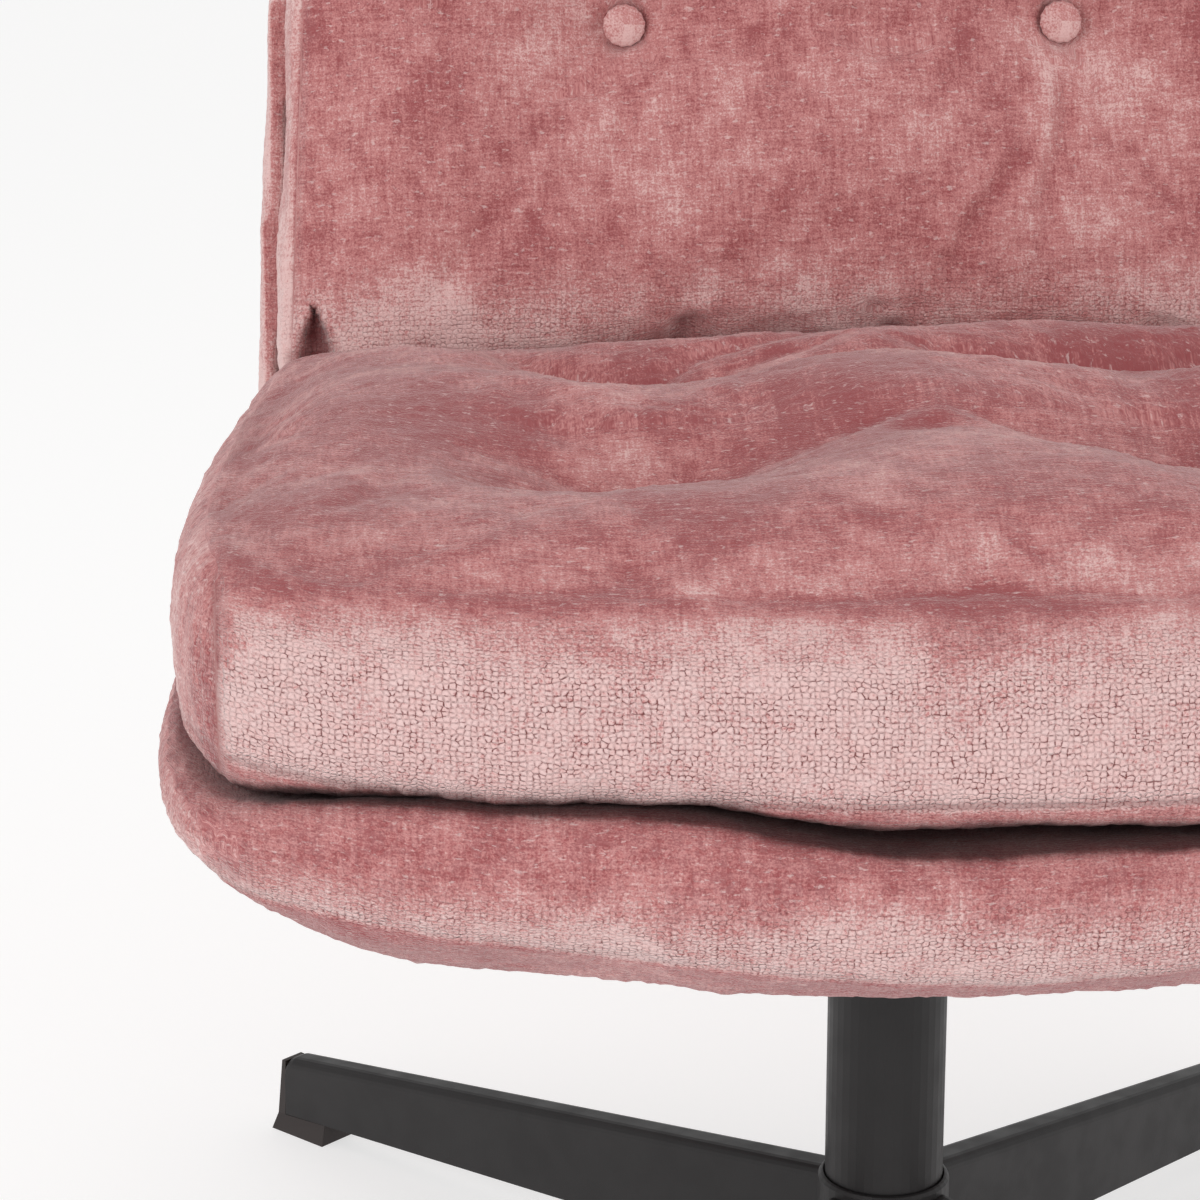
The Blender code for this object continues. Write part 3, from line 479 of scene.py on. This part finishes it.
def level_fold(co, normal):
    """Carries the cloth on from an upright front or rear face over the level faces next to it."""
    strips = np.linspace(co[:, 0].min(), co[:, 0].max() + 1e-6, LEVEL_STRIPS + 1)
    strip = np.digitize(co[:, 0], strips) - 1
    front = np.full(LEVEL_STRIPS, np.inf)
    rear = np.full(LEVEL_STRIPS, -np.inf)
    np.minimum.at(front, strip, co[:, 1])
    np.maximum.at(rear, strip, co[:, 1])
    middles = (strips[1:] + strips[:-1]) / 2
    depth = np.minimum(co[:, 1] - np.interp(co[:, 0], middles, front),
                       np.interp(co[:, 0], middles, rear) - co[:, 1])
    return depth * (2 * step_up(normal[:, 2], -0.5, 0.5) - 1)


def edge_fold(co, normal):
    """Carries the cloth on from a tall face over its narrow top and bottom edges."""
    turn = np.sign(normal[:, 2]) * step_up(np.abs(normal[:, 2]), 0.35, 0.75)
    return (co[:, 1] - co[:, 1].min()) * turn


def normals_of(mesh):
    normal = np.empty(len(mesh.vertices) * 3)
    mesh.vertex_normals.foreach_get("vector", normal)
    return normal.reshape(-1, 3)


def button_places(prefix):
    """Name and middle of each CAD button."""
    found = []
    for name, node in frame["nodes"].items():
        if name.startswith(prefix):
            low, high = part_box(name)
            found.append((name, (low + high) / 2))
    return found


def build_seat_cushion(material):
    low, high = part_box("seat_cushion")
    obj = soft_copy("seat_cushion", "seat_cushion_cover")
    co = coordinates(obj.data)
    tufts = [place for _, place in button_places("seat_button")]
    body = {"co": co, "normal": normals_of(obj.data)}
    middle = np.array(((low.x + high.x) / 2, (low.y + high.y) / 2, low.z))
    co = middle + (co - middle) * (0.985, 0.985, 0.96)
    set_coordinates(obj.data, co)
    pinned = co[:, 2] < low.z + 0.006
    wells = np.zeros(len(co))
    for tuft in tufts:
        reach = np.hypot(co[:, 0] - tuft.x, co[:, 1] - tuft.y)
        pinned |= (reach < 0.017) & (co[:, 2] > low.z + 0.02)
        wells = np.maximum(wells, bell(reach, 0.060))
    swell(obj, pinned, 0.020)
    fill_out(obj, body, REFILL * (1 - wells))
    refine(obj)
    co = coordinates(obj.data)
    normal = normals_of(obj.data)
    up = np.clip(normal[:, 2], 0, 1)
    front_row = min(t.y for t in tufts)
    rear_row = max(t.y for t in tufts)
    spread_x = max(abs(t.x) for t in tufts)
    for row in (front_row, rear_row):
        ends = 1 - 0.55 * step_up(np.abs(co[:, 0]), spread_x, spread_x + 0.12)
        co[:, 2] -= TUFT_ROW_DEPTH * up * bell(co[:, 1] - row, 0.036) * ends
    rear = step_up(co[:, 1], rear_row, high.y - 0.02)
    co[:, 2] += 0.006 * up * rear * step_up(co[:, 0], -0.05, 0.18)
    fore = step_up(-co[:, 1], -low.y - 0.09, -low.y - 0.03)
    lift = (0.0040 + 0.0085 * (1 - step_up(co[:, 0], -0.135, -0.035))) * fore
    co[:, 2] += lift * (1 - step_up(co[:, 2], low.z + 0.01, low.z + 0.06))
    co += normal * roughness_of(co, 1)[:, None]
    set_coordinates(obj.data, co)
    x, y, z = np.abs(co[:, 0]), co[:, 1], co[:, 2]
    half = high.x * (1 - 0.10 * step_up(y, -0.12, high.y))
    panel = np.minimum(x - half + 0.022, y - (low.y + 0.040))
    seam_height = low.z + 0.0160
    under = step_up(seam_height - z, 0.0, 0.004)
    height = (z - low.z) / (high.z - low.z)
    seam = np.minimum(np.abs(panel) + 0.02 * step_up(height, 0.70, 0.90), np.abs(z - seam_height))
    front = step_up(-normal[:, 1], 0.35, 0.8) * (1 - under)
    body_side = step_up(panel, 0.0, 0.002) * (1 - step_up(height, 0.75, 0.95))
    ragged = height + 0.10 * lumps(co, 14, 31)
    # Painted light and shade in tone: lighter on the front faces, partly for the lie of the fibres; darker on
    # upward faces and below the seam, where it stands for shade.
    tone = 0.52 + front * (0.36 - 0.18 * step_up(ragged, 0.48, 0.98)) - 0.27 * up - 0.12 * under
    tone += body_side * (0.10 - 0.40 * bell(panel, 0.009) * (1 - up))
    pile = front * (1 - 0.70 * step_up(height, 0.48, 0.84)) + 0.25 * body_side * (1 - up) + 0.35 * under
    turned = np.minimum(panel, 0.02 * (np.abs(normal[:, 0]) - 0.55))
    # Painted shade on the cushion's downward faces.
    shade = 0.85 * step_up(-normal[:, 2], 0.45, 0.9)
    finish_soft(obj, material, ["seat_cushion"], {
        "panel": turned, "fold": level_fold(co, normal), "seam": seam,
        "tone": tone, "pile": pile, "shade": shade})


def build_seat_shell(material):
    obj = soft_copy("seat_shell", "seat_shell_cover")
    refine(obj)
    co = coordinates(obj.data)
    normal = normals_of(obj.data)
    across = np.abs(co[:, 0])
    fore = step_up(-co[:, 1], 0.02, 0.16)
    lower = 1 - step_up(co[:, 2], 0.330, 0.352)
    co[:, 2] -= (0.0075 * bell(across - 0.250, 0.045) - 0.004 * bell(across - 0.160, 0.045)) * fore * lower
    rim = step_up(-co[:, 1], 0.270, 0.325) * step_up(co[:, 2], 0.350, 0.364)
    worn = 1 - step_up(co[:, 0], -0.14, -0.03)
    co[:, 2] += rim * (0.0140 * worn * (1 - 0.3 * step_up(across, 0.22, 0.29)) - 0.0020)
    co += normal * roughness_of(co, 4)[:, None]
    set_coordinates(obj.data, co)
    x, z = np.abs(co[:, 0]), co[:, 2]
    seam_height = 0.3135 + 0.0215 * np.minimum(1, x / 0.245)
    seam = np.abs(z - seam_height) + 0.0012
    panel = 0.02 * (np.abs(normal[:, 0]) - 0.74)
    under = step_up(seam_height - z, 0.0, 0.004)
    height = step_up(z, 0.330, 0.362)
    # Painted shade in tone: darker towards the top of the shell, under the cushion, and below the seam.
    tone = 0.72 - 0.36 * height - 0.52 * under
    pile = (1 - 0.6 * under) * (1 - 0.75 * height)
    # Painted shade on upward faces under the cushion, weaker at the outer corners.
    shade = 0.85 * step_up(normal[:, 2], 0.76, 1.0) * (1 - 0.5 * step_up(x, 0.25, 0.30))
    finish_soft(obj, material, ["seat_shell"], {
        "panel": panel, "fold": level_fold(co, normal), "seam": seam,
        "tone": tone, "pile": pile, "shade": shade})


def build_back_cushion(material):
    obj = soft_copy("back_cushion", "back_cushion_cover", BACK_FRAME)
    co = coordinates(obj.data)
    low, high = co.min(axis=0), co.max(axis=0)
    tufts = [BACK_FRAME.inverted() @ place for _, place in button_places("back_button")]
    body = {"co": co, "normal": normals_of(obj.data)}
    middle = np.array((0, high[1], (low[2] + high[2]) / 2))
    co = middle + (co - middle) * (0.985, 0.94, 0.985)
    set_coordinates(obj.data, co)
    pinned = co[:, 1] > high[1] - 0.006
    wells = np.zeros(len(co))
    for tuft in tufts:
        reach = np.hypot(co[:, 0] - tuft.x, co[:, 2] - tuft.z)
        pinned |= (reach < 0.014) & (co[:, 1] < high[1] - 0.02)
        wells = np.maximum(wells, bell(reach, 0.050))
    swell(obj, pinned, 0.022)
    fill_out(obj, body, REFILL * (1 - wells))
    refine(obj)
    co = coordinates(obj.data)
    normal = normals_of(obj.data)
    out = np.clip(-normal[:, 1], 0, 1)
    for row in sorted({round(t.z, 3) for t in tufts}):
        ends = 1 - 0.7 * step_up(np.abs(co[:, 0]), 0.12, 0.22)
        co[:, 1] += 0.005 * out * bell(co[:, 2] - row, 0.016) * ends
    creased = np.zeros(len(co))
    for button in tufts:
        strength = 1.0 if button.x > 0 else 0.45
        for angle, start, end in CREASES:
            along = (math.cos(math.radians(angle)), math.sin(math.radians(angle)))
            reach = co[:, [0, 2]] - (button.x, button.z)
            run = reach @ along
            bend = 0.006 * np.sin(run * 34 + angle)
            off = (reach @ (-along[1], along[0]) + bend) / CREASE_WIDTH
            fade = step_up(run, start, start + 0.03) * (1 - step_up(run, 0.6 * end, end))
            creased += strength * out * off * np.exp(-off ** 2) * fade
    co[:, 1] += CREASE_DEPTH * creased
    apex = BACK_FRAME.inverted() @ Vector(CORNER_FOLD_APEX)
    below = apex.z - co[:, 2]
    spread = np.maximum(0.60 * below, 1e-4)
    notch = np.clip(1 - np.abs(co[:, 0] - apex.x) / spread, 0, 1) * (below > 0) * out
    co[:, 1] += 0.016 * notch
    edge = bell(np.abs(co[:, 0]) - (high[0] - BACK_TAPER * (co[:, 2] - low[2])) + 0.010, 0.009) * out
    co[:, 1] += 0.0016 * edge * np.sin(co[:, 2] * 420 + 3 * lumps(co, 30, 9))
    co += normal * roughness_of(co, 7)[:, None]
    set_coordinates(obj.data, co)
    x, z = np.abs(co[:, 0]), co[:, 2]
    half = high[0] - BACK_TAPER * (z - low[2])
    panel = x - half + 0.006
    seam = np.minimum(np.abs(panel) + 0.0010, 0.012 * (1 - np.clip(notch * 2.0, 0, 1)) + 0.0002)
    lowest = 1 - step_up(z, low[2] + 0.045, low[2] + 0.095)
    # Painted light and shade in tone: one side of each crease darker and the other lighter, and darker in the
    # corner fold.
    tone = 0.42 - 0.28 * creased + 0.26 * lowest * out - 0.5 * notch + 0.30 * step_up(panel, -0.001, 0.002)
    pile = 0.10 + 0.50 * lowest * out
    # Painted shade in the corner fold and on downward faces.
    shade = 0.45 * np.clip(1.5 * notch, 0, 1) + 0.7 * step_up(-normal[:, 2], 0.5, 0.9)
    finish_soft(obj, material, ["back_cushion"], {
        "panel": panel, "fold": edge_fold(co, normal), "seam": seam,
        "tone": tone, "pile": pile, "shade": shade})


def build_back_shell(material):
    obj = soft_copy("back_shell", "back_shell_cover", BACK_FRAME)
    refine(obj)
    co = coordinates(obj.data)
    normal = normals_of(obj.data)
    rear = co[:, 1].max()
    co += normal * 0.7 * roughness_of(co, 10)[:, None]
    set_coordinates(obj.data, co)
    panel = (np.abs(normal[:, 0]) > 0.7) * 2.0 - 1.0
    rear_seam = np.abs(co[:, 1] - (rear - 0.012))
    tone = 0.50 + 0.32 * step_up(np.abs(normal[:, 0]), 0.3, 0.8)
    finish_soft(obj, material, ["back_shell"], {
        "panel": panel, "fold": edge_fold(co, normal), "seam": rear_seam, "tone": tone, "pile": 0.18})


def build_buttons(material):
    """Fabric-covered buttons, a dome with a gathered rim."""
    for prefix, local in (("seat_button", Matrix.Identity(4)), ("back_button", BACK_FRAME)):
        for name, place in button_places(prefix):
            bm = bmesh.new()
            bmesh.ops.create_uvsphere(bm, u_segments=40, v_segments=20, radius=BUTTON_RADIUS)
            for vertex in bm.verts:
                radius = math.hypot(vertex.co.x, vertex.co.y)
                angle = math.atan2(vertex.co.y, vertex.co.x)
                gather = BUTTON_GATHER * math.sin(BUTTON_GATHERS * angle) * (radius / BUTTON_RADIUS) ** 3
                vertex.co.x *= 1 + gather / BUTTON_RADIUS
                vertex.co.y *= 1 + gather / BUTTON_RADIUS
                vertex.co.z *= 0.45
            mesh = bpy.data.meshes.new(name + "_cover")
            if prefix == "back_button":
                bmesh.ops.rotate(bm, verts=bm.verts, matrix=Matrix.Rotation(math.radians(90), 3, "X"))
            bm.to_mesh(mesh)
            bm.free()
            obj = bpy.data.objects.new(name + "_cover", mesh)
            scene.collection.objects.link(obj)
            obj.matrix_world = Matrix.Translation(place) @ local.to_3x3().to_4x4()
            finish_soft(obj, material, [name], {"panel": -1.0, "tone": 0.68})


def fine_copy(node, name, step, local=Matrix.Identity(4)):
    """A copy of a thin CAD node, cut into a grid so that it can be bent. It stays in the local frame."""
    mesh = frame["nodes"][node].data.copy()
    mesh.name = name
    mesh.materials.clear()
    mesh.transform(local.inverted())
    bm = bmesh.new()
    bm.from_mesh(mesh)
    for axis in range(3):
        values = [vertex.co[axis] for vertex in bm.verts]
        low, high = min(values), max(values)
        count = int((high - low) / step)
        for number in range(1, count):
            point, direction = Vector(), Vector()
            point[axis] = low + (high - low) * number / count
            direction[axis] = 1
            geometry = bm.verts[:] + bm.edges[:] + bm.faces[:]
            bmesh.ops.bisect_plane(bm, geom=geometry, dist=1e-6, plane_co=point, plane_no=direction)
    bm.to_mesh(mesh)
    bm.free()
    obj = bpy.data.objects.new(name, mesh)
    scene.collection.objects.link(obj)
    obj.matrix_world = local
    return obj


def build_dust_cover(material):
    """The felt under the seat, slack between its staples and in the bays of the frame."""
    low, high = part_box("dust_cover")
    obj = fine_copy("dust_cover", "dust_cover_sheet", 0.008)
    co = coordinates(obj.data)
    edge = np.minimum(np.minimum(co[:, 0] - low.x, high.x - co[:, 0]),
                      np.minimum(co[:, 1] - low.y, high.y - co[:, 1]))
    ripple = np.sin(co[:, 0] * 209) * np.sin(co[:, 1] * 209)
    co[:, 2] -= 0.0006 * (1 + ripple) * bell(edge - 0.006, 0.008)
    board = step_up(np.abs(co[:, 1]), 0.10, 0.13)
    co[:, 2] -= 0.0030 * board * step_up(edge, 0.035, 0.07) * (1 + 0.4 * lumps(co, 18, 21))
    set_coordinates(obj.data, co)
    obj.data.materials.append(material)
    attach(obj, "seat")
    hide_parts("dust_cover")
    build_staples(low, high)


def build_staples(low, high):
    """Wire staples round the edge of the dust cover."""
    one = bmesh.new()
    bmesh.ops.create_cube(one, size=1)
    bmesh.ops.scale(one, verts=one.verts, vec=STAPLE_SIZE)
    bmesh.ops.bevel(one, geom=one.edges[:], offset=0.0003, segments=2, affect="EDGES")
    staple = bpy.data.meshes.new("staple")
    one.to_mesh(staple)
    one.free()
    bm = bmesh.new()
    for number in range(STAPLE_GAPS + 1):
        x = low.x + STAPLE_END + (high.x - low.x - 2 * STAPLE_END) * number / STAPLE_GAPS
        y = low.y + STAPLE_END + (high.y - low.y - 2 * STAPLE_END) * number / STAPLE_GAPS
        for place, turn in (((x, low.y + STAPLE_INSET), 0), ((x, high.y - STAPLE_INSET), 0),
                            ((low.x + STAPLE_INSET, y), 90), ((high.x - STAPLE_INSET, y), 90)):
            placed = staple.copy()
            placed.transform(Matrix.Translation((*place, low.z - 0.0011)) @
                             Matrix.Rotation(math.radians(turn), 4, "Z"))
            bm.from_mesh(placed)
            bpy.data.meshes.remove(placed)
    bpy.data.meshes.remove(staple)
    mesh = bpy.data.meshes.new("cover_staples")
    bm.to_mesh(mesh)
    bm.free()
    obj = bpy.data.objects.new("cover_staples", mesh)
    scene.collection.objects.link(obj)
    mesh.materials.append(frame["nodes"]["thrust_washer"].data.materials[0])
    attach(obj, "seat")


def build_straps(material):
    """Woven straps with ribs along them, pulled slightly slack between the rails."""
    for node in sorted(frame["nodes"]):
        if "_webbing_" not in node:
            continue
        on_back = node.startswith("back")
        obj = fine_copy(node, node + "_strap", 0.0035, BACK_FRAME if on_back else Matrix.Identity(4))
        co = coordinates(obj.data)
        length_axis, width_axis, depth_axis = (0, 2, 1) if on_back else (1, 0, 2)
        middle = (co.min(axis=0) + co.max(axis=0)) / 2
        half = (co.max(axis=0) - co.min(axis=0)) / 2
        run = np.abs(co[:, length_axis] - middle[length_axis]) / half[length_axis]
        slack = 0.0025 * (1 - step_up(run, 0.0, 0.85))
        rib = 0.00018 * np.cos((co[:, width_axis] - middle[width_axis]) * 900)
        outer = np.sign(co[:, depth_axis] - middle[depth_axis])
        co[:, depth_axis] += rib * outer + (slack if on_back else -slack)
        set_coordinates(obj.data, co)
        obj.data.materials.append(material)
        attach(obj, "seat")
        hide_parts(node)


def dress_frame():
    """Gives every CAD node that stays its own finish."""
    finishes = {
        "black_steel": powder_coat(),
        "foot_plastic": moulded("foot_plastic", (0.020, 0.014, 0.013), (0.036, 0.026, 0.024), 0.6),
        "nylon": moulded("nylon", (0.74, 0.73, 0.69), (0.86, 0.85, 0.81), 0.45),
        "zinc_steel": zinc(),
        "plywood": wood("plywood", (0.55, 0.40, 0.24), (0.78, 0.62, 0.43), 0),
        "webbing": webbing(),
        "cover_felt": felt(),
    }
    pine = [wood(f"pine_{axis}", (0.50, 0.32, 0.16), (0.78, 0.59, 0.37), i) for i, axis in enumerate("xyz")]
    for part in frame["record"]["subparts"]:
        name, slot = part["node"], part["material_slot"]
        if slot == "upholstery":
            continue
        material = finishes.get(slot)
        if slot == "pine":
            low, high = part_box(name)
            extent = list(high - low)
            material = pine[extent.index(max(extent))]
        mesh = frame["nodes"][name].data
        mesh.materials.clear()
        mesh.materials.append(material)
    return finishes


build_studio()
finishes = dress_frame()
fabric = chenille("rose_chenille")
build_seat_cushion(fabric)
build_seat_shell(fabric)
build_back_cushion(fabric)
build_back_shell(fabric)
build_buttons(fabric)
build_dust_cover(finishes["cover_felt"])
build_straps(finishes["webbing"])
